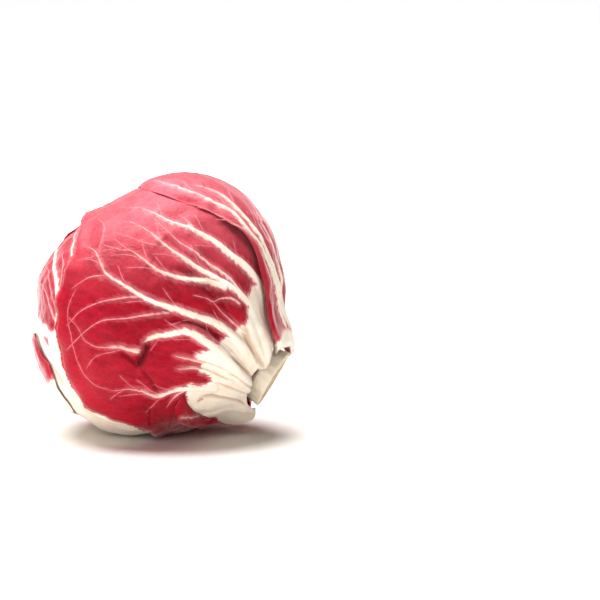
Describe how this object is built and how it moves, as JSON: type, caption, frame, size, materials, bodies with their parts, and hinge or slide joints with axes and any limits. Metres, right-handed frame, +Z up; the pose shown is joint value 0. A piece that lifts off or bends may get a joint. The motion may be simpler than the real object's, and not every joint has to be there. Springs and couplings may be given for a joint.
{
  "type": "radicchio head",
  "caption": "Whole round head of radicchio lying on its side: crimson wrapper leaves with cream ribs over a dense heart, with a cut stem butt.",
  "frame": {"origin": "centre of the head's box, on the surface that it lies on", "axes": "+Z up, -Y towards the head's best side, +X towards the stem butt, which also points down and slightly forward"},
  "size_m": [0.1162, 0.1098, 0.1147],
  "materials": {
    "stem": "cut, slightly browned cream stem",
    "heart_leaf": "satin dark crimson leaf",
    "wrapper_leaf": "satin crimson leaf with cream ribs and base"
  },
  "bodies": {
    "root": {"stem": "stem", "heart": "heart_leaf", "leaf_left": "wrapper_leaf", "leaf_far_left": "wrapper_leaf", "leaf_back_low": "wrapper_leaf", "leaf_back": "wrapper_leaf", "leaf_front": "wrapper_leaf", "leaf_top": "wrapper_leaf"}
  },
  "joints": []
}
